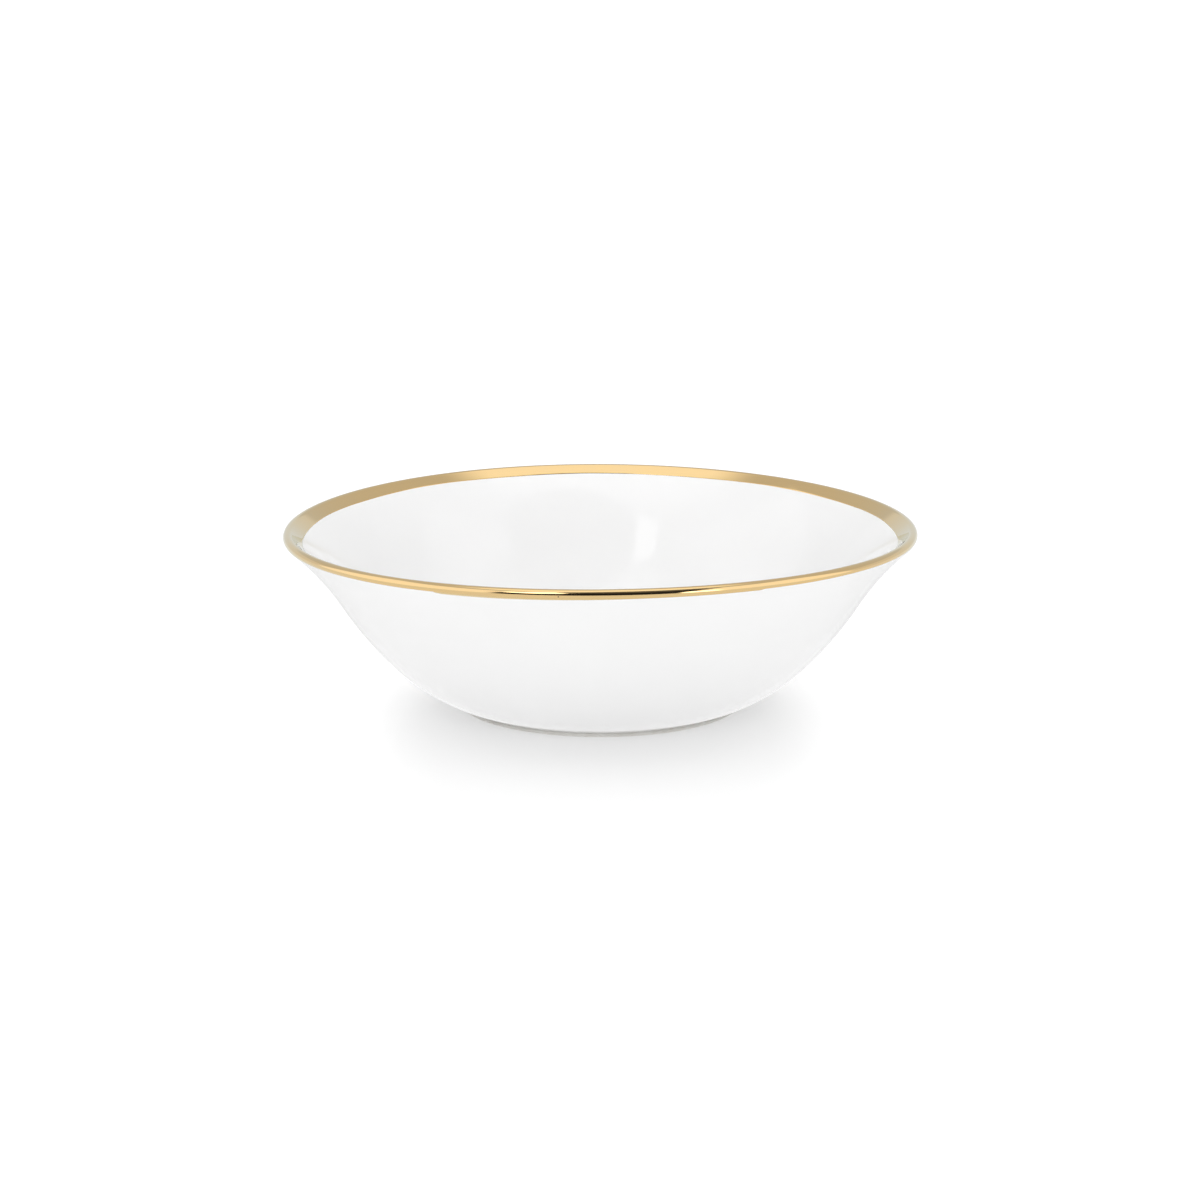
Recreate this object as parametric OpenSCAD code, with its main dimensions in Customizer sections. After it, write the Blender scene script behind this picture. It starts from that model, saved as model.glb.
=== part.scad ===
// Porcelain serving bowl with a gilded rim.
// The bowl is a body of revolution about Z. It stands on z = 0, with the origin at
// the centre of the foot's resting plane.
//
// The wall is a chain of arcs that run smoothly into one another. Every arc is given
// by its centre, its radius and the slope of the surface where it starts and ends,
// and every coat is the same chain moved out or in by the coat's thickness. So the
// body, its glaze and its gold meet face to face.

/* [Bowl] */
// Diameter over the lip, without the gold
bowl_d = 230; // [214:1:250]
// Height from the table to the top of the lip, without the gold
bowl_h = 66.5; // [63:0.5:72]
// Radius of the rounded lip, which is half the wall's thickness at the rim
lip_r = 1.8; // [1.4:0.1:2.2]

/* [Outside] */
// Slope of the surface just under the lip, degrees from level
lip_slope = 42; // [36:1:48]
// Radius of the outward flare below the lip
flare_r = 107; // [90:1:125]
// Slope where the flare turns into the belly, degrees from level
steep_slope = 58; // [55:1:62]
// Radius of the belly
belly_r = 131; // [110:1:145]
// Slope where the belly turns into the heel, degrees from level
heel_slope = 45; // [43:1:49]
// Slope where the heel meets the foot, degrees from level
foot_slope = 20; // [15:1:26]

/* [Inside] */
// Radius of the inner belly
in_belly_r = 131; // [120:1:140]
// Slope where the inner belly turns into the inner heel, degrees from level
in_heel_slope = 48; // [46:1:51]
// Slope where the inner heel turns into the well, degrees from level
well_slope = 5; // [3:0.5:8]
// Thickness of the floor at its centre, with its glaze
floor_t = 4.2; // [3.5:0.1:6]

/* [Foot] */
// Height of the bare foot ring
foot_h = 1.45; // [1.2:0.05:2.4]
// Width of the foot ring
foot_w = 4.4; // [3.5:0.1:7]
// Radius of the two rounded edges that the bowl rests between
foot_edge_r = 0.5; // [0.2:0.1:0.6]
// Height of the recess inside the foot ring, from the table
recess_h = 3.2; // [2.6:0.1:4]
// Radius of the recess's inner corner
recess_corner_r = 1.4; // [0.8:0.1:1.5]

/* [Coats] */
// Thickness of the glaze
glaze_t = 0.3; // [0.2:0.05:0.5]
// Thickness of the gold
gold_t = 0.15; // [0.1:0.05:0.3]
// How far the gold runs down the inside of the flare, below the rounded lip
gold_in_w = 4; // [3:0.1:9]
// Slope of the rounded lip where the gold ends on the outside, degrees from level
gold_out_slope = 60; // [50:1:80]
// How far the second brush stroke runs down the outside, below the rounded lip
stroke_w = 0.4; // [0.3:0.1:2]
// Angle that the second brush stroke covers, centred on -Y
stroke_span = 58; // [30:1:90]

/* [Hidden] */
$fn = 180;
porcelain_colour = [0.93, 0.93, 0.91];
bare_colour = [0.90, 0.89, 0.85];
glaze_colour = [0.97, 0.97, 0.97];
base_colour = [0.95, 0.95, 0.94];
gold_colour = [0.88, 0.70, 0.33];
stroke_colour = [0.80, 0.64, 0.32];
arc_step = 2.5; // the angle between an arc's points, degrees
lip_step = 15; // the same, for the small arcs of the lip and the corners

// Unit vector square to a surface of the given slope, pointing out and down.
function normal(slope) = [sin(slope), -cos(slope)];
// The angle that an arc of this length turns through.
function turn(length, radius) = length / radius * 180 / PI;

// Outside, from the lip down. The flare's centre lies outside the bowl, and the
// centres of the belly and the heel lie within it.
lip_c = [bowl_d / 2 - lip_r, bowl_h - lip_r];
flare_c = lip_c + (lip_r + flare_r) * normal(lip_slope);
belly_c = flare_c - (flare_r + belly_r) * normal(steep_slope);
heel_top_z = belly_c.y + belly_r * normal(heel_slope).y;
heel_r = (heel_top_z - foot_h) / (cos(foot_slope) - cos(heel_slope));
heel_c = belly_c + (belly_r - heel_r) * normal(heel_slope);
foot_join = heel_c + heel_r * normal(foot_slope);

// Inside. The flare keeps its thickness, and the inner belly starts where it ends.
in_flare_r = flare_r + 2 * lip_r;
in_belly_c = flare_c - (in_flare_r + in_belly_r) * normal(steep_slope);
in_heel_top = in_belly_c + in_belly_r * normal(in_heel_slope);
// The inner heel's radius is the one that brings the well to its height on the axis.
well_z = recess_h - glaze_t + floor_t;
well_rise = tan(well_slope / 2);
in_heel_r = (in_heel_top.y - in_heel_top.x * well_rise - well_z)
    / (cos(well_slope) - cos(in_heel_slope)
       - (sin(in_heel_slope) - sin(well_slope)) * well_rise);
in_heel_c = in_heel_top - in_heel_r * normal(in_heel_slope);
well_r = (in_heel_c.x + in_heel_r * sin(well_slope)) / sin(well_slope);
well_c = [0, well_z + well_r];

// The foot ring is flush with the glaze on both of its sides.
foot_r = foot_join.x;
foot_in_r = foot_r - foot_w;
recess_r = foot_in_r + glaze_t;

// Slopes at which the gold ends on the inside of the flare, and the second stroke on
// the outside.
gold_in_slope = lip_slope + turn(gold_in_w, in_flare_r);
stroke_slope = lip_slope + turn(stroke_w, flare_r);

// Points along an arc that starts and ends where its surface has these slopes.
function arc(centre, radius, from, to, step) =
    let (n = ceil(abs(to - from) / step))
    [for (i = [0:n]) centre + radius * normal(from + (to - from) * i / n)];
// Several runs of points as one, where each starts on the last point of the one before.
function joined(runs) =
    [for (k = [0:len(runs) - 1]) for (i = [min(k, 1):len(runs[k]) - 1]) runs[k][i]];
function reversed(points) = [for (i = [len(points) - 1:-1:0]) points[i]];

// Parts of the chain, this deep under the glaze's outer surface. The flare bends the
// other way from the rest, so its radius is negative.
function heel_start(depth) = acos((heel_c.y - foot_h) / (heel_r - depth));
function outside_below_gold(depth) = joined([
    arc(heel_c, heel_r - depth, heel_start(depth), heel_slope, arc_step),
    arc(belly_c, belly_r - depth, heel_slope, steep_slope, arc_step),
    arc(flare_c, -flare_r - depth, steep_slope, stroke_slope, arc_step)]);
function under_stroke(depth) = joined([
    arc(flare_c, -flare_r - depth, stroke_slope, lip_slope, arc_step),
    arc(lip_c, lip_r - depth, lip_slope, gold_out_slope, lip_step)]);
function under_gold(depth) = joined([
    arc(lip_c, lip_r - depth, gold_out_slope, lip_slope + 180, lip_step),
    arc(flare_c, -in_flare_r + depth, lip_slope, gold_in_slope, arc_step)]);
function inside_below_gold(depth) = joined([
    arc(flare_c, -in_flare_r + depth, gold_in_slope, steep_slope, arc_step),
    arc(in_belly_c, in_belly_r + depth, steep_slope, in_heel_slope, arc_step),
    arc(in_heel_c, in_heel_r + depth, in_heel_slope, well_slope, arc_step),
    arc(well_c, well_r + depth, well_slope, 0, arc_step)]);

// The whole chain, from the foot over the lip to the middle of the well.
function wall(depth) = joined([outside_below_gold(depth), under_stroke(depth),
    under_gold(depth), inside_below_gold(depth)]);

// The recess inside the foot ring, from its middle to the ring's top.
function recess(depth) =
    let (side = recess_r - depth, top = recess_h - depth, r = recess_corner_r - depth)
    concat([[0, top]], arc([side - r, top - r], r, 180, 90, lip_step), [[side, foot_h]]);

// The fired clay under the glaze.
module porcelain_body() {
    color(porcelain_colour) rotate_extrude()
        polygon(concat(wall(glaze_t), recess(0)));
}

// The bare ring that the bowl stands on, with its two edges rounded.
module foot_ring() {
    inner_c = [foot_in_r + foot_edge_r, foot_edge_r];
    outer_c = [foot_r - foot_edge_r, foot_edge_r];
    color(bare_colour) rotate_extrude()
        polygon(concat([[foot_in_r, foot_h]], arc(inner_c, foot_edge_r, -90, 0, lip_step),
            arc(outer_c, foot_edge_r, 0, 90, lip_step), [[foot_r, foot_h]]));
}

// One coat of glaze, up the outside, over the lip and down into the well.
module glaze_coat() {
    color(glaze_colour) rotate_extrude()
        polygon(concat(wall(0), reversed(wall(glaze_t))));
}

// The glaze inside the foot ring, which the bare ring parts from the rest.
module base_glaze() {
    color(base_colour) rotate_extrude()
        polygon(concat(recess(0), reversed(recess(glaze_t))));
}

// The gold band: down the inside of the flare and over most of the rounded lip.
module gold_band() {
    color(gold_colour) rotate_extrude()
        polygon(concat(under_gold(0), reversed(under_gold(-gold_t))));
}

// The second pass of the brush, which takes the gold down past the lip at the front.
module gold_second_stroke() {
    color(stroke_colour) rotate([0, 0, -90 - stroke_span / 2])
        rotate_extrude(angle = stroke_span)
            polygon(concat(under_stroke(0), reversed(under_stroke(-gold_t))));
}

porcelain_body();
foot_ring();
glaze_coat();
base_glaze();
gold_band();
gold_second_stroke();
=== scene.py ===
"""Porcelain serving bowl with a gilded rim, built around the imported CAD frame.

Every visible piece is a mesh in metres, turned about Z from the same chain of tangent
arcs as the CAD model, but with many more points and with the small faults of a fired,
hand gilded bowl: a rim slightly out of true and gold with wandering edges.
"""
import math

import bpy
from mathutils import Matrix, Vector


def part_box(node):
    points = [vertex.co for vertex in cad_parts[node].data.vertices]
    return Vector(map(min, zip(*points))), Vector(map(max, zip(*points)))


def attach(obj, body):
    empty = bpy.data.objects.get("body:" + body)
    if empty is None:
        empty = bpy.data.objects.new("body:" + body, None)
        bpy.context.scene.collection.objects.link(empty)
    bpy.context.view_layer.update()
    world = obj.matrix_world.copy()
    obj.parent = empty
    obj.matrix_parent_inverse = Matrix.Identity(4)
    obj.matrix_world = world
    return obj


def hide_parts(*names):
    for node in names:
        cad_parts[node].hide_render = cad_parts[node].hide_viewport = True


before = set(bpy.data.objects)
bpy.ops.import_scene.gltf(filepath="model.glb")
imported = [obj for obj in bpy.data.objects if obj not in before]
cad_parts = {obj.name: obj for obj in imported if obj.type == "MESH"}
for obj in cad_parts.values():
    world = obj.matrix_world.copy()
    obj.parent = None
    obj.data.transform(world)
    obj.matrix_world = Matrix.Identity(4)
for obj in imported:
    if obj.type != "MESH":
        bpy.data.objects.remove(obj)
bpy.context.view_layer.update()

MM = 0.001

# ---------------------------------------------------------------- measures from the frame
GLAZE_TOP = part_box("glaze_coat")[1]         # the upper corners of the pieces' boxes
BODY_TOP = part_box("porcelain_body")[1]
FOOT_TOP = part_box("foot_ring")[1]
BASE_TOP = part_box("base_glaze")[1]

RIM_R = GLAZE_TOP.x                   # outermost radius of the glazed lip
RIM_Z = GLAZE_TOP.z                   # height of the lip's top
GLAZE_T = GLAZE_TOP.z - BODY_TOP.z    # thickness of the glaze
FOOT_R = FOOT_TOP.x
FOOT_Z = FOOT_TOP.z
RECESS_R = BASE_TOP.x
RECESS_Z = BASE_TOP.z

# ------------------------------------------------- the section's arcs, as in the CAD model
LIP_R = 1.8 * MM          # rounding of the lip
LIP_SLOPE = 42.0          # slopes are in degrees from level
FLARE_R = 107 * MM
STEEP_SLOPE = 58.0
BELLY_R = 131 * MM
HEEL_SLOPE = 45.0
FOOT_SLOPE = 20.0
IN_BELLY_R = 131 * MM
IN_HEEL_SLOPE = 48.0
WELL_SLOPE = 5.0
FLOOR_T = 4.2 * MM        # floor at its centre, with the glaze of both sides
FOOT_W = 4.4 * MM
FOOT_EDGE_R = 0.5 * MM
RECESS_CORNER_R = 1.4 * MM

# ------------------------------------------------------------------------------- the gold
GOLD_IN_W = 4.0 * MM      # from the rounded lip down the inside of the flare
SIDE_GOLD = 1.2 * MM      # how much wider that is at the bowl's left and right
SIDE_FOCUS = 8            # power of the cosine that keeps the widening to the sides
GOLD_OUT_SLOPE = 60.0     # where the gold ends on the lip's rounding outside
EDGE_LEAN = 0.40 * MM     # that edge is this much higher on the right, lower on the left
STROKE_W = 0.1 * MM       # second stroke, from the rounded lip down the outside
STROKE_HALF = 29.0        # degrees that it covers to each side of the front
STROKE_RAMP = 1.6         # degrees that the slanted step takes at each of its ends
STROKE_STUB = 0.12        # share of its width that it has at its very ends
STROKE_LAP = 0.1 * MM     # how far it reaches over the band

# An edge's wobble is a sum of waves: size, turns round the bowl, start in radians.
INNER_EDGE = [(0.25 * MM, 2, 1.57), (0.13 * MM, 10, 1.57), (0.03 * MM, 13, 0.4),
              (0.015 * MM, 37, 1.3)]
OUTER_EDGE = [(0.04 * MM, 3, 1.9), (0.04 * MM, 7, 0.2), (0.02 * MM, 19, 2.6)]
STROKE_EDGE = [(0.38 * MM, 5, 1.57), (0.03 * MM, 17, 2.0)]

GOLD_FILM = 0.05 * MM     # thickness of the gold film, a third of the CAD solid's
FILM_ROUND = 0.12 * MM    # width over which the film thins towards its edges
FILM_EDGE = 0.2           # share of its thickness that is left at the edges
FILM_SINK = 0.01 * MM     # how far its underside dips into the glaze

PINHOLE_X = -13.8 * MM    # a tiny pit in the gold, at the front
PINHOLE_Z = 65.1 * MM
PINHOLE_R = 0.2 * MM

# ------------------------------------------------- how far the fired rim is out of true
SADDLE = 0.84 * MM        # front and back up, sides down
TILT = 0.37 * MM          # right side up, left side down
TWIST = -0.32 * MM        # right front up, left front down

# --------------------------------------------------------------- fineness of the meshes
SEGMENTS = 480            # steps round the bowl
ARC_STEP = 0.8            # degrees between points of the large arcs
LIP_STEP = 5.0            # degrees between points of the small arcs
FOOT_STEP = 10.0          # degrees between points of the foot ring's edges
RECESS_STEPS = 6          # points across the flat of the recess
BAND_STEPS = 44           # points across the gold band
STROKE_STEPS = 10         # points across the second stroke
STROKE_SEGMENTS = 240     # steps along the second stroke
ON_AXIS = 1e-7            # a point nearer the axis than this lies on it

# -------------------------------------------------------------------------- the table
FLOOR_HALF = 90 * RIM_R
TABLE_GLOW = 0.362        # glow under the bowl and just in front of it, where it is dimmed as a painted shadow
MORE_GLOW = 0.09          # how much more it glows further out, past the painted shadow
SHADOW_OVAL_Y = -50 * MM          # the painted shadow's oval: its centre, and half its size
SHADOW_OVAL_HALF_X = 58 * MM
SHADOW_OVAL_HALF_Y = 120 * MM
SHADOW_OVAL_END = 1.6             # the glow is full this many half sizes from the centre
PAINTED_REFLECTION_NEAR = 1.04        # painted reflection: the table's white in reflections, by the foot
PAINTED_REFLECTION_FAR = 0.84         # and out past the rim

# ------------------------------------------------------------------------- the camera
CAMERA_RISE = 11.65       # degrees above level
CAMERA_AWAY = 10.02 * RIM_R
CAMERA_ASIDE = -0.08 * MM
AIM_Z = 0.568 * RIM_Z
LENS = 94.9               # both in millimetres, as Blender has them
SENSOR = 36.0


# ======================================================================= section outline
def normal(slope):
    """Unit vector (r, z) square to a surface of this slope, pointing out and down."""
    a = math.radians(slope)
    return Vector((math.sin(a), -math.cos(a)))


def arc(centre, radius, start, end, step):
    """Points along an arc that starts and ends where the surface has these slopes."""
    count = max(1, math.ceil(abs(end - start) / step))
    return [centre + radius * normal(start + (end - start) * i / count)
            for i in range(count + 1)]


def joined(runs):
    """Several runs of points as one, each starting on the last point of the one before."""
    points = list(runs[0])
    for run in runs[1:]:
        points += run[1:]
    return points


def reverse(points):
    return list(reversed(points))


def degrees_of(length, radius):
    return math.degrees(length / radius)


# Outside, from the lip down to the foot.
lip_c = Vector((RIM_R - LIP_R, RIM_Z - LIP_R))
flare_c = lip_c + (LIP_R + FLARE_R) * normal(LIP_SLOPE)
belly_c = flare_c - (FLARE_R + BELLY_R) * normal(STEEP_SLOPE)
heel_top_z = (belly_c + BELLY_R * normal(HEEL_SLOPE)).y
HEEL_R = (heel_top_z - FOOT_Z) / (normal(HEEL_SLOPE).y - normal(FOOT_SLOPE).y)
heel_c = belly_c + (BELLY_R - HEEL_R) * normal(HEEL_SLOPE)

# Inside, from the lip down to the middle of the well.
IN_FLARE_R = FLARE_R + 2 * LIP_R
in_belly_c = flare_c - (IN_FLARE_R + IN_BELLY_R) * normal(STEEP_SLOPE)
in_heel_top = in_belly_c + IN_BELLY_R * normal(IN_HEEL_SLOPE)
WELL_Z = RECESS_Z - GLAZE_T + FLOOR_T
well_rise = math.tan(math.radians(WELL_SLOPE / 2))
in_heel_drop = normal(IN_HEEL_SLOPE).y - normal(WELL_SLOPE).y
in_heel_run = normal(IN_HEEL_SLOPE).x - normal(WELL_SLOPE).x
IN_HEEL_R = ((in_heel_top.y - in_heel_top.x * well_rise - WELL_Z)
             / (in_heel_drop - in_heel_run * well_rise))
in_heel_c = in_heel_top - IN_HEEL_R * normal(IN_HEEL_SLOPE)
WELL_R = (in_heel_c + IN_HEEL_R * normal(WELL_SLOPE)).x / normal(WELL_SLOPE).x
well_c = Vector((0.0, WELL_Z + WELL_R))


def wall(depth):
    """The wall's outline, this deep under the glaze, from the foot to the well's middle."""
    level = (heel_c.y - FOOT_Z) / (HEEL_R - depth)
    foot_slope = math.degrees(math.acos(level))
    return joined([
        arc(heel_c, HEEL_R - depth, foot_slope, HEEL_SLOPE, ARC_STEP),
        arc(belly_c, BELLY_R - depth, HEEL_SLOPE, STEEP_SLOPE, ARC_STEP),
        arc(flare_c, -FLARE_R - depth, STEEP_SLOPE, LIP_SLOPE, ARC_STEP),
        arc(lip_c, LIP_R - depth, LIP_SLOPE, LIP_SLOPE + 180, LIP_STEP),
        arc(flare_c, -IN_FLARE_R + depth, LIP_SLOPE, STEEP_SLOPE, ARC_STEP),
        arc(in_belly_c, IN_BELLY_R + depth, STEEP_SLOPE, IN_HEEL_SLOPE, ARC_STEP),
        arc(in_heel_c, IN_HEEL_R + depth, IN_HEEL_SLOPE, WELL_SLOPE, ARC_STEP),
        arc(well_c, WELL_R + depth, WELL_SLOPE, 0.0, ARC_STEP / 2)])


def recess(depth):
    """The recess under the floor, from its middle to the top of the foot ring."""
    side, top, corner = RECESS_R - depth, RECESS_Z - depth, RECESS_CORNER_R - depth
    bend = arc(Vector((side - corner, top - corner)), corner, 180, 90, LIP_STEP)
    flat = [Vector(((side - corner) * i / RECESS_STEPS, top)) for i in range(RECESS_STEPS)]
    return flat + bend + [Vector((side, FOOT_Z))]


# ========================================================================== lathe meshes
def out_of_true(x, y, z):
    """Height that firing added at this point. It grows from nothing at the foot."""
    phi = math.atan2(y, x)
    grown = max(0.0, z / RIM_Z) ** 2
    return grown * (-SADDLE * math.cos(2 * phi) + TILT * math.cos(phi)
                    + TWIST * math.sin(2 * phi))


def placed(r, z, phi):
    x, y = r * math.cos(phi), r * math.sin(phi)
    return (x, y, z + out_of_true(x, y, z))


def mesh_piece(name, verts, faces, replaced, slot, material):
    mesh = bpy.data.meshes.new(name)
    mesh.from_pydata(verts, [], faces)
    mesh.validate()
    mesh.polygons.foreach_set("use_smooth", [True] * len(mesh.polygons))
    piece = bpy.data.objects.new(name, mesh)
    bpy.context.scene.collection.objects.link(piece)
    mesh.materials.append(material)
    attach(piece, "root")
    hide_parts(replaced)


def lathe(outline):
    """Turns a closed outline, listed counter-clockwise in (r, z), into a closed mesh.

    Points on the axis become a single vertex each.
    """
    verts, rings = [], []
    for point in outline:
        if point.x < ON_AXIS:
            rings.append([len(verts)] * SEGMENTS)
            verts.append(placed(0.0, point.y, 0.0))
            continue
        rings.append(list(range(len(verts), len(verts) + SEGMENTS)))
        verts += [placed(point.x, point.y, 2 * math.pi * i / SEGMENTS)
                  for i in range(SEGMENTS)]
    faces = []
    for k, ring in enumerate(rings):
        after = rings[(k + 1) % len(rings)]
        if ring[0] == ring[-1] and after[0] == after[-1]:
            continue
        for i in range(SEGMENTS):
            j = (i + 1) % SEGMENTS
            corners = [ring[i], ring[j], after[j], after[i]]
            faces.append([c for n, c in enumerate(corners) if c not in corners[:n]])
    return verts, faces


# ========================================================================== shader nodes
def new_material(name):
    material = bpy.data.materials.new(name)
    material.use_nodes = True
    tree = material.node_tree
    return material, tree, tree.nodes["Principled BSDF"]


def node(tree, kind, **settings):
    made = tree.nodes.new(kind)
    for key, value in settings.items():
        setattr(made, key, value)
    return made


def feed(tree, socket, value):
    """Gives a socket a number, a colour or another node's output."""
    if isinstance(value, (int, float)):
        socket.default_value = value
    elif isinstance(value, tuple):
        socket.default_value = (*value, 1.0)
    else:
        tree.links.new(value, socket)


def noise(tree, vector, scale, detail=2.0, roughness=0.5):
    """Noise with about this many bumps to the vector's unit, which is often a metre."""
    made = node(tree, "ShaderNodeTexNoise")
    made.inputs["Scale"].default_value = scale
    made.inputs["Detail"].default_value = detail
    made.inputs["Roughness"].default_value = roughness
    tree.links.new(vector, made.inputs["Vector"])
    return made.outputs["Fac"]


def remap(tree, value, low, high, out_low, out_high, smooth=False):
    made = node(tree, "ShaderNodeMapRange")
    made.interpolation_type = "SMOOTHSTEP" if smooth else "LINEAR"
    tree.links.new(value, made.inputs["Value"])
    for socket, number in (("From Min", low), ("From Max", high),
                           ("To Min", out_low), ("To Max", out_high)):
        made.inputs[socket].default_value = number
    return made.outputs["Result"]


def calc(tree, operation, a, b=0.0):
    made = node(tree, "ShaderNodeMath", operation=operation)
    feed(tree, made.inputs[0], a)
    feed(tree, made.inputs[1], b)
    return made.outputs["Value"]


def hypot(tree, a, b):
    """The length of the vector with these two parts."""
    return calc(tree, "SQRT", calc(tree, "ADD", calc(tree, "MULTIPLY", a, a),
                                   calc(tree, "MULTIPLY", b, b)))


def blend_colour(tree, factor, colour_a, colour_b):
    made = node(tree, "ShaderNodeMix", data_type="RGBA")
    feed(tree, made.inputs["Factor"], factor)
    for name, value in (("A", colour_a), ("B", colour_b)):
        feed(tree, [s for s in made.inputs if s.name == name and s.type == "RGBA"][0], value)
    return [s for s in made.outputs if s.type == "RGBA"][0]


def blend_value(tree, factor, a, b):
    made = node(tree, "ShaderNodeMix", data_type="FLOAT")
    for socket, value in ((0, factor), (2, a), (3, b)):
        feed(tree, made.inputs[socket], value)
    return made.outputs[0]


def bump(tree, height, distance, before=None):
    made = node(tree, "ShaderNodeBump")
    made.inputs["Strength"].default_value = 1.0
    made.inputs["Distance"].default_value = distance
    tree.links.new(height, made.inputs["Height"])
    if before is not None:
        tree.links.new(before, made.inputs["Normal"])
    return made.outputs["Normal"]


def object_point(tree):
    return node(tree, "ShaderNodeTexCoord").outputs["Object"]


def parts_of(tree, vector):
    made = node(tree, "ShaderNodeSeparateXYZ")
    tree.links.new(vector, made.inputs[0])
    return made.outputs


def round_point(tree, along, across):
    """A vector for patterns that are drawn out round the bowl.

    Its first two parts turn with the azimuth, times along. The third is the radius less
    most of the height, times across.
    """
    x, y, z = parts_of(tree, object_point(tree))
    radius = hypot(tree, x, y)
    made = node(tree, "ShaderNodeCombineXYZ")
    for socket, part in zip(made.inputs, (x, y)):
        turned = calc(tree, "DIVIDE", part, radius)
        tree.links.new(calc(tree, "MULTIPLY", turned, along), socket)
    section = calc(tree, "SUBTRACT", radius, calc(tree, "MULTIPLY", z, 0.8))
    tree.links.new(calc(tree, "MULTIPLY", section, across), made.inputs[2])
    return made.outputs[0]


# ============================================================================= materials
def glaze_material(name, white, cloudy, roughness, ripple):
    """Glossy glaze over white clay: faint clouding, and a surface that isn't quite flat."""
    material, tree, shader = new_material(name)
    point = object_point(tree)
    clouds = remap(tree, noise(tree, point, 28.0, 3.0), 0.35, 0.7, 0.0, 1.0)
    tree.links.new(blend_colour(tree, clouds, white, cloudy), shader.inputs["Base Color"])
    gloss = remap(tree, noise(tree, point, 60.0, 4.0), 0.3, 0.7,
                  roughness * 0.7, roughness * 1.4)
    tree.links.new(gloss, shader.inputs["Roughness"])
    shader.inputs["IOR"].default_value = 1.5
    waves = noise(tree, point, 45.0, 1.0)
    peel = noise(tree, point, 320.0, 2.0)
    rings = noise(tree, round_point(tree, 0.5, 260.0), 1.0, 1.0)
    normals = bump(tree, waves, ripple)
    normals = bump(tree, rings, ripple * 0.25, normals)
    normals = bump(tree, peel, ripple * 0.03, normals)
    tree.links.new(normals, shader.inputs["Normal"])
    return material


def clay_material(name, pale, dark, grit):
    """Fired clay with no glaze: matt, with a fine grain."""
    material, tree, shader = new_material(name)
    point = object_point(tree)
    mottle = remap(tree, noise(tree, point, 140.0, 5.0, 0.65), 0.35, 0.7, 0.0, 1.0)
    tree.links.new(blend_colour(tree, mottle, pale, dark), shader.inputs["Base Color"])
    tree.links.new(remap(tree, noise(tree, point, 900.0), 0.3, 0.7, 0.62, 0.85),
                   shader.inputs["Roughness"])
    shader.inputs["IOR"].default_value = 1.45
    grain = noise(tree, point, 2200.0, 3.0, 0.6)
    tree.links.new(bump(tree, grain, grit), shader.inputs["Normal"])
    return material


def pinhole(tree):
    """1 inside the one tiny pit in the gold at the front, and 0 elsewhere."""
    x, y, z = parts_of(tree, object_point(tree))
    away = hypot(tree, calc(tree, "SUBTRACT", x, PINHOLE_X),
                 calc(tree, "SUBTRACT", z, PINHOLE_Z))
    pit = remap(tree, away, 0.5 * PINHOLE_R, 1.5 * PINHOLE_R, 1.0, 0.0)
    return calc(tree, "MULTIPLY", pit, calc(tree, "LESS_THAN", y, 0.0))


def gold_material(name, bright, thin, roughness, streak):
    """Fired gold: fine brush streaks that run round the bowl, and thinner patches."""
    material, tree, shader = new_material(name)
    shader.inputs["Metallic"].default_value = 1.0
    shader.inputs["Specular Tint"].default_value = (0.90, 1.0, 1.0, 1.0)
    shader.inputs["Coat Weight"].default_value = 0.9
    shader.inputs["Coat Roughness"].default_value = 0.03
    streaks = noise(tree, round_point(tree, 7.0, 2600.0), 1.0, 3.0, 0.6)
    patches = noise(tree, round_point(tree, 9.0, 160.0), 1.0, 2.0)
    worn = calc(tree, "MULTIPLY", remap(tree, patches, 0.45, 0.75, 0.0, 1.0),
                remap(tree, streaks, 0.4, 0.7, 0.3, 1.0))
    colour = blend_colour(tree, worn, bright, thin)
    colour = blend_colour(tree, pinhole(tree), colour, (0.10, 0.06, 0.03))
    tree.links.new(colour, shader.inputs["Base Color"])
    tree.links.new(remap(tree, streaks, 0.3, 0.7, roughness * 0.8, roughness * 1.3),
                   shader.inputs["Roughness"])
    normals = bump(tree, streaks, streak)
    grain = noise(tree, object_point(tree), 900.0, 2.0)
    tree.links.new(bump(tree, grain, streak * 0.2, normals), shader.inputs["Normal"])
    return material


GLAZE = glaze_material("glaze", (0.89, 0.89, 0.89), (0.88, 0.88, 0.88), 0.03, 0.012 * MM)
BASE_GLAZE = glaze_material("base_glaze", (0.78, 0.78, 0.775), (0.76, 0.76, 0.75),
                            0.09, 0.05 * MM)
PORCELAIN = clay_material("porcelain", (0.80, 0.80, 0.78), (0.77, 0.77, 0.75), 0.01 * MM)
BARE_FOOT = clay_material("bare_foot", (0.74, 0.73, 0.70), (0.66, 0.64, 0.60), 0.03 * MM)
GOLD = gold_material("gold", (0.88, 0.62, 0.285), (0.85, 0.61, 0.30), 0.07, 0.002 * MM)
STROKE_GOLD = gold_material("gold_stroke", (0.81, 0.60, 0.29), (0.78, 0.60, 0.32),
                            0.12, 0.003 * MM)


# ================================================================================ pieces
def glaze_coat():
    outline = wall(0.0) + reverse(wall(GLAZE_T))
    mesh_piece("glaze_skin", *lathe(outline), "glaze_coat", "glaze", GLAZE)


def porcelain_body():
    outline = wall(GLAZE_T) + recess(0.0)
    mesh_piece("clay_body", *lathe(outline), "porcelain_body", "porcelain", PORCELAIN)


def base_glaze():
    outline = reverse(recess(0.0)) + recess(GLAZE_T)
    mesh_piece("base_glaze_skin", *lathe(outline), "base_glaze", "base_glaze", BASE_GLAZE)


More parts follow.
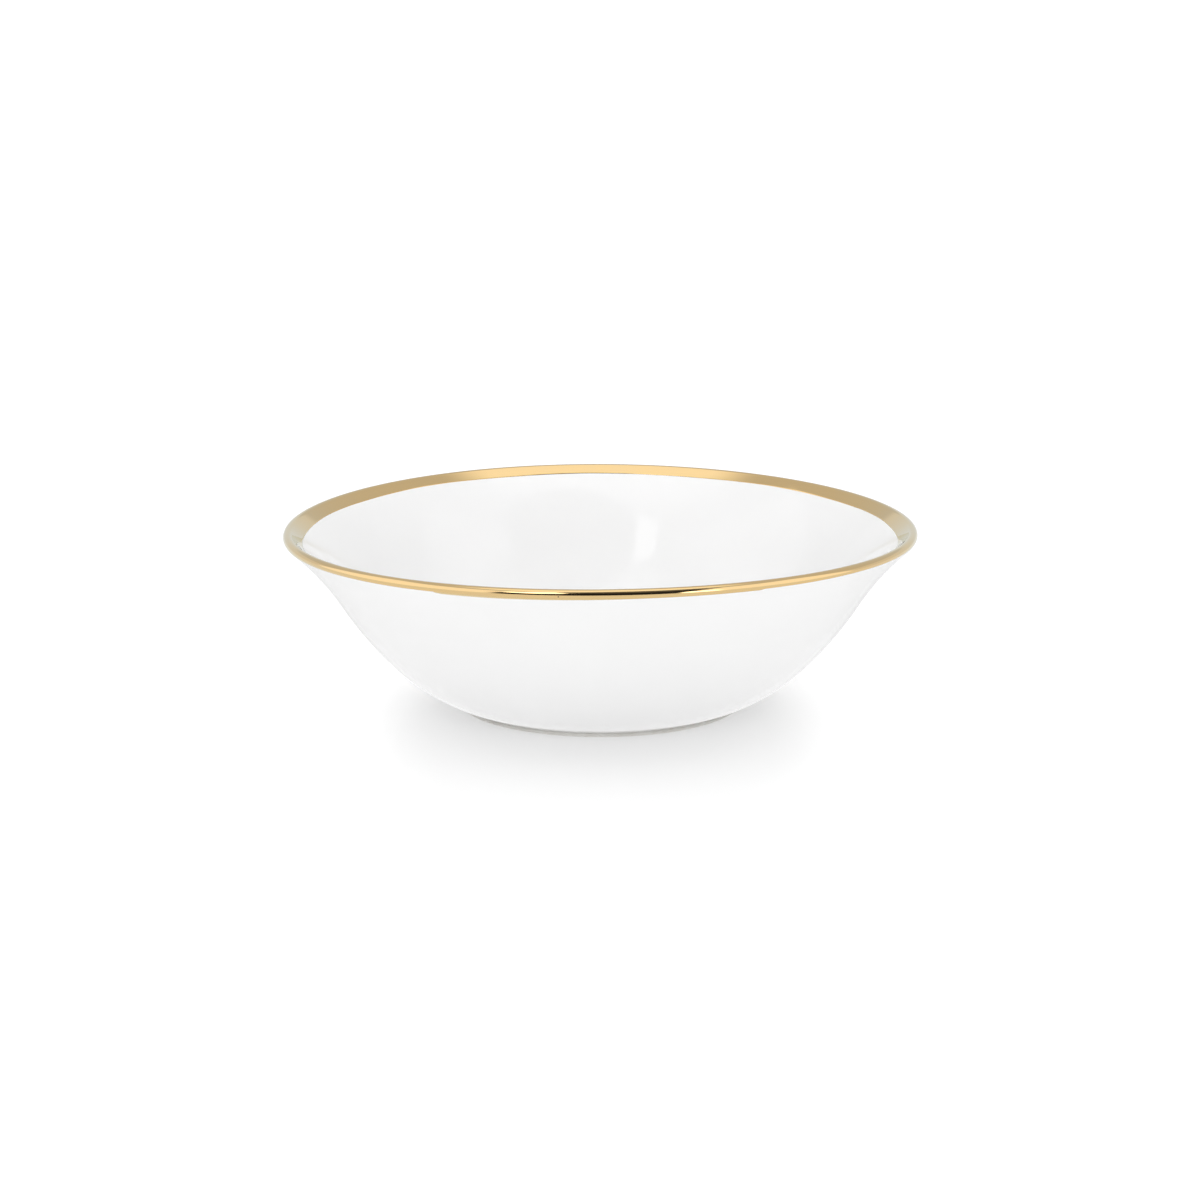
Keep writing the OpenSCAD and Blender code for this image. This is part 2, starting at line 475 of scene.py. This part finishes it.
def foot_ring():
    inner_r = FOOT_R - FOOT_W
    low_in = Vector((inner_r + FOOT_EDGE_R, FOOT_EDGE_R))
    low_out = Vector((FOOT_R - FOOT_EDGE_R, FOOT_EDGE_R))
    outline = ([Vector((inner_r, FOOT_Z))]
               + arc(low_in, FOOT_EDGE_R, -90, 0, FOOT_STEP)
               + arc(low_out, FOOT_EDGE_R, 0, 90, FOOT_STEP)
               + [Vector((FOOT_R, FOOT_Z))])
    mesh_piece("foot_ring_bare", *lathe(outline), "foot_ring", "bare_foot", BARE_FOOT)


# Along the glaze at the rim, measured from the outer end of the lip's rounding.
OVER_LIP = math.pi * LIP_R
GOLD_START = math.radians(GOLD_OUT_SLOPE - LIP_SLOPE) * LIP_R


def rim_point(run, lift):
    """(r, z) on the glaze near the lip, lifted off it. run is the length along the glaze
    from the outer end of the lip's rounding: negative below it, growing over the lip."""
    if run < 0:
        return flare_c - (FLARE_R - lift) * normal(LIP_SLOPE - degrees_of(run, FLARE_R))
    if run <= OVER_LIP:
        return lip_c + (LIP_R + lift) * normal(LIP_SLOPE + degrees_of(run, LIP_R))
    slope = LIP_SLOPE + degrees_of(run - OVER_LIP, IN_FLARE_R)
    return flare_c - (IN_FLARE_R + lift) * normal(slope)


def wander(phi, terms):
    """A smooth wobble round the bowl, the sum of a few sine waves."""
    return sum(size * math.sin(turns * phi + start) for size, turns, start in terms)


def film(start_of, end_of, angles, closed, steps):
    """A thin film on the rim between two wandering edges, with rounded edges."""
    verts, sections = [], []
    for phi in angles:
        start, end = start_of(phi), end_of(phi)
        across = [start + (end - start) * i / steps for i in range(steps + 1)]
        across[1] = min(across[1], start + FILM_ROUND)
        across[-2] = max(across[-2], end - FILM_ROUND)
        top = []
        for run in across:
            inside = min(1.0, min(run - start, end - run) / FILM_ROUND)
            full = FILM_EDGE + (1 - FILM_EDGE) * math.sqrt(max(0.0, inside))
            top.append(rim_point(run, GOLD_FILM * full))
        under = [rim_point(run, -FILM_SINK) for run in reverse(across)]
        section = top + under
        sections.append(list(range(len(verts), len(verts) + len(section))))
        verts += [placed(p.x, p.y, phi) for p in section]
    faces = []
    count = len(sections[0])
    last = len(sections) if closed else len(sections) - 1
    for i in range(last):
        here, there = sections[i], sections[(i + 1) % len(sections)]
        for k in range(count):
            n = (k + 1) % count
            faces.append((here[k], there[k], there[n], here[n]))
    if not closed:
        faces.append(tuple(sections[0]))
        faces.append(tuple(reverse(sections[-1])))
    return verts, faces


def outer_edge(phi):
    return GOLD_START + EDGE_LEAN * math.cos(phi) + wander(phi, OUTER_EDGE)


def gold_band():
    def inner_edge(phi):
        return (OVER_LIP + GOLD_IN_W + SIDE_GOLD * math.cos(phi) ** SIDE_FOCUS
                + wander(phi, INNER_EDGE))

    turns = 2 * SEGMENTS
    angles = [2 * math.pi * i / turns for i in range(turns)]
    mesh_piece("gold_band_film", *film(outer_edge, inner_edge, angles, True, BAND_STEPS),
               "gold_band", "gold", GOLD)


def gold_second_stroke():
    """Wider gold below the band at the front, with a slanted step at each end."""
    half = math.radians(STROKE_HALF)
    ramp = math.radians(STROKE_RAMP)
    front = -math.pi / 2
    angles = [front - half + 2 * half * i / STROKE_SEGMENTS
              for i in range(STROKE_SEGMENTS + 1)]

    def low_edge(phi):
        from_end = half - abs(phi - front)
        grown = min(1.0, STROKE_STUB + from_end / ramp)
        return outer_edge(phi) - (GOLD_START + STROKE_W) * grown + wander(phi, STROKE_EDGE)

    def high_edge(phi):
        return outer_edge(phi) + STROKE_LAP

    mesh_piece("gold_second_stroke_film",
               *film(low_edge, high_edge, angles, False, STROKE_STEPS),
               "gold_second_stroke", "gold_stroke", STROKE_GOLD)


# ================================================================================= stage
def floor():
    """A white table that glows a little, so that the bowl is lit from below too. Its glow is
    dimmed in an oval under and in front of the bowl as a painted shadow, and its reflections
    are a painted even white, brightest round the foot.
    """
    mesh = bpy.data.meshes.new("floor")
    mesh.from_pydata([(x * FLOOR_HALF, y * FLOOR_HALF, 0)
                      for x, y in ((-1, -1), (1, -1), (1, 1), (-1, 1))],
                     [], [(0, 1, 2, 3)])
    plane = bpy.data.objects.new("floor", mesh)
    bpy.context.scene.collection.objects.link(plane)
    material, tree, shader = new_material("floor")
    shader.inputs["Base Color"].default_value = (0.6, 0.6, 0.6, 1.0)
    shader.inputs["Roughness"].default_value = 1.0
    shader.inputs["Specular IOR Level"].default_value = 0.0
    shader.inputs["Emission Color"].default_value = (1.0, 1.0, 1.0, 1.0)
    # Painted shadow: the glow is weaker in an oval under the bowl and in front of it.
    x, y, _ = parts_of(tree, object_point(tree))
    reach = hypot(tree, calc(tree, "DIVIDE", x, SHADOW_OVAL_HALF_X),
                  calc(tree, "DIVIDE", calc(tree, "SUBTRACT", y, SHADOW_OVAL_Y), SHADOW_OVAL_HALF_Y))
    tree.links.new(remap(tree, reach, 1.0, SHADOW_OVAL_END, TABLE_GLOW, TABLE_GLOW + MORE_GLOW, True),
                   shader.inputs["Emission Strength"])
    # Painted reflection: in reflections the table is an even white, brightest round the foot.
    painted_reflection = node(tree, "ShaderNodeEmission")
    tree.links.new(remap(tree, hypot(tree, x, y), 0.5 * RIM_R, 1.1 * RIM_R,
                         PAINTED_REFLECTION_NEAR, PAINTED_REFLECTION_FAR), painted_reflection.inputs["Strength"])
    mixed = node(tree, "ShaderNodeMixShader")
    path = node(tree, "ShaderNodeLightPath")
    tree.links.new(path.outputs["Is Glossy Ray"], mixed.inputs["Fac"])
    tree.links.new(shader.outputs[0], mixed.inputs[1])
    tree.links.new(painted_reflection.outputs[0], mixed.inputs[2])
    tree.links.new(mixed.outputs[0], tree.nodes["Material Output"].inputs["Surface"])
    mesh.materials.append(material)


class Studio:
    """Light that comes from all round, as patches given by azimuth and elevation.

    Both are in degrees. Azimuth is 0 on the side that the camera stands on, and grows
    towards +X. A later patch covers the earlier ones.
    """

    def __init__(self, tree, level):
        self.tree = tree
        x, y, z = parts_of(tree, node(tree, "ShaderNodeTexCoord").outputs["Generated"])
        to_camera = calc(tree, "MULTIPLY", y, -1.0)
        self.azimuth = calc(tree, "MULTIPLY", calc(tree, "ARCTAN2", x, to_camera),
                            180 / math.pi)
        self.elevation = calc(tree, "MULTIPLY", calc(tree, "ARCSINE", z), 180 / math.pi)
        made = node(tree, "ShaderNodeValue")
        made.outputs[0].default_value = level
        self.light = made.outputs[0]

    def between(self, value, low, high, soft):
        rise = remap(self.tree, value, low - soft, low + soft, 0.0, 1.0, True)
        fall = remap(self.tree, value, high - soft, high + soft, 1.0, 0.0, True)
        return calc(self.tree, "MULTIPLY", rise, fall)

    def patch(self, level, azimuths, elevations, soft):
        """Sets the light to this level inside a patch. Its edges are soft on both sides,
        in degrees. A patch with no azimuths goes all the way round."""
        mask = self.between(self.elevation, *elevations, soft)
        if azimuths:
            mask = calc(self.tree, "MULTIPLY", mask,
                        self.between(self.azimuth, *azimuths, soft))
        self.light = blend_value(self.tree, mask, self.light, level)

    def oval(self, level, centre, half, soft):
        """Sets the light to this level inside an oval with this centre and half size. Its
        edge is soft on both sides, as a share of the half size."""
        offsets = [calc(self.tree, "DIVIDE", calc(self.tree, "SUBTRACT", angle, middle), size)
                   for angle, middle, size in zip((self.azimuth, self.elevation),
                                                  centre, half)]
        mask = remap(self.tree, hypot(self.tree, *offsets), 1.0 - soft, 1.0 + soft,
                     1.0, 0.0, True)
        self.light = blend_value(self.tree, mask, self.light, level)


def studio_light():
    world = bpy.data.worlds.new("studio")
    bpy.context.scene.world = world
    world.use_nodes = True
    world.cycles.sampling_method = "NONE"
    tree = world.node_tree
    background = tree.nodes["Background"]
    # What gloss reflects.
    gloss = Studio(tree, 0.60)                           # the room's grey walls
    gloss.patch(0.73, None, (-95, 19), 1.5)              # a pale sweep, low all round
    gloss.patch(0.02, (-38, 43), (-95, 49), 1.5)         # the dark room behind the camera
    gloss.oval(2.6, (-27, 39), (13, 12), 0.08)           # a lamp in it, on the left
    gloss.oval(2.6, (43, 6), (15, 20), 0.08)             # and one low on the right
    gloss.patch(1.12, (-118, -40), (-95, 50), 3.0)       # large softbox, left
    gloss.patch(1.12, (42, 100), (-95, 50), 3.0)         # large softbox, right
    gloss.patch(1.12, None, (64, 95), 5.0)               # overhead softbox
    gloss.oval(2.1, (5, 54), (41, 8.5), 0.05)            # bright light over the camera
    gloss.oval(0.12, (19, 57), (42, 15), 0.04)           # the dark shape in front of it
    # What lights the surfaces themselves.
    fill = Studio(tree, 0.54)                            # all round
    fill.patch(1.32, (-40, 40), (-95, 45), 4.0)          # from the camera's side, low
    fill.patch(1.70, (140, 190), (-95, 45), 4.0)         # from behind, low, in two halves
    fill.patch(1.70, (-190, -140), (-95, 45), 4.0)
    fill.patch(0.55, None, (45, 95), 4.0)                # overhead
    fill.patch(2.40, (40, 140), (45, 70), 4.0)           # softbox high on the right
    fill.patch(2.60, (-140, -40), (45, 70), 4.0)         # softbox high on the left
    fill.patch(0.70, (-40, 40), (45, 70), 4.0)           # high over the camera
    path = node(tree, "ShaderNodeLightPath")
    light = blend_value(tree, path.outputs["Is Diffuse Ray"], gloss.light, fill.light)
    # The camera itself sees a plain white backdrop.
    light = blend_value(tree, path.outputs["Is Camera Ray"], light, 1.1)
    tree.links.new(light, background.inputs["Strength"])
    background.inputs["Color"].default_value = (1.0, 1.0, 1.0, 1.0)


def camera():
    """Looks at the bowl from in front and a little above."""
    rise = math.radians(CAMERA_RISE)
    aside = Vector((CAMERA_ASIDE, 0.0, 0.0))
    rim_centre = Vector((0.0, 0.0, RIM_Z - LIP_R))
    place = rim_centre + aside + CAMERA_AWAY * Vector((0.0, -math.cos(rise),
                                                       math.sin(rise)))
    aim = aside + Vector((0.0, 0.0, AIM_Z))
    data = bpy.data.cameras.new("camera")
    data.sensor_width = SENSOR
    data.lens = LENS
    data.clip_start = 0.05
    data.clip_end = 100.0
    made = bpy.data.objects.new("camera", data)
    made.location = place
    made.rotation_euler = (aim - place).to_track_quat("-Z", "Y").to_euler()
    bpy.context.scene.collection.objects.link(made)
    bpy.context.scene.camera = made


porcelain_body()
glaze_coat()
base_glaze()
foot_ring()
gold_band()
gold_second_stroke()
floor()
studio_light()
camera()
bpy.context.scene.view_settings.view_transform = "Standard"
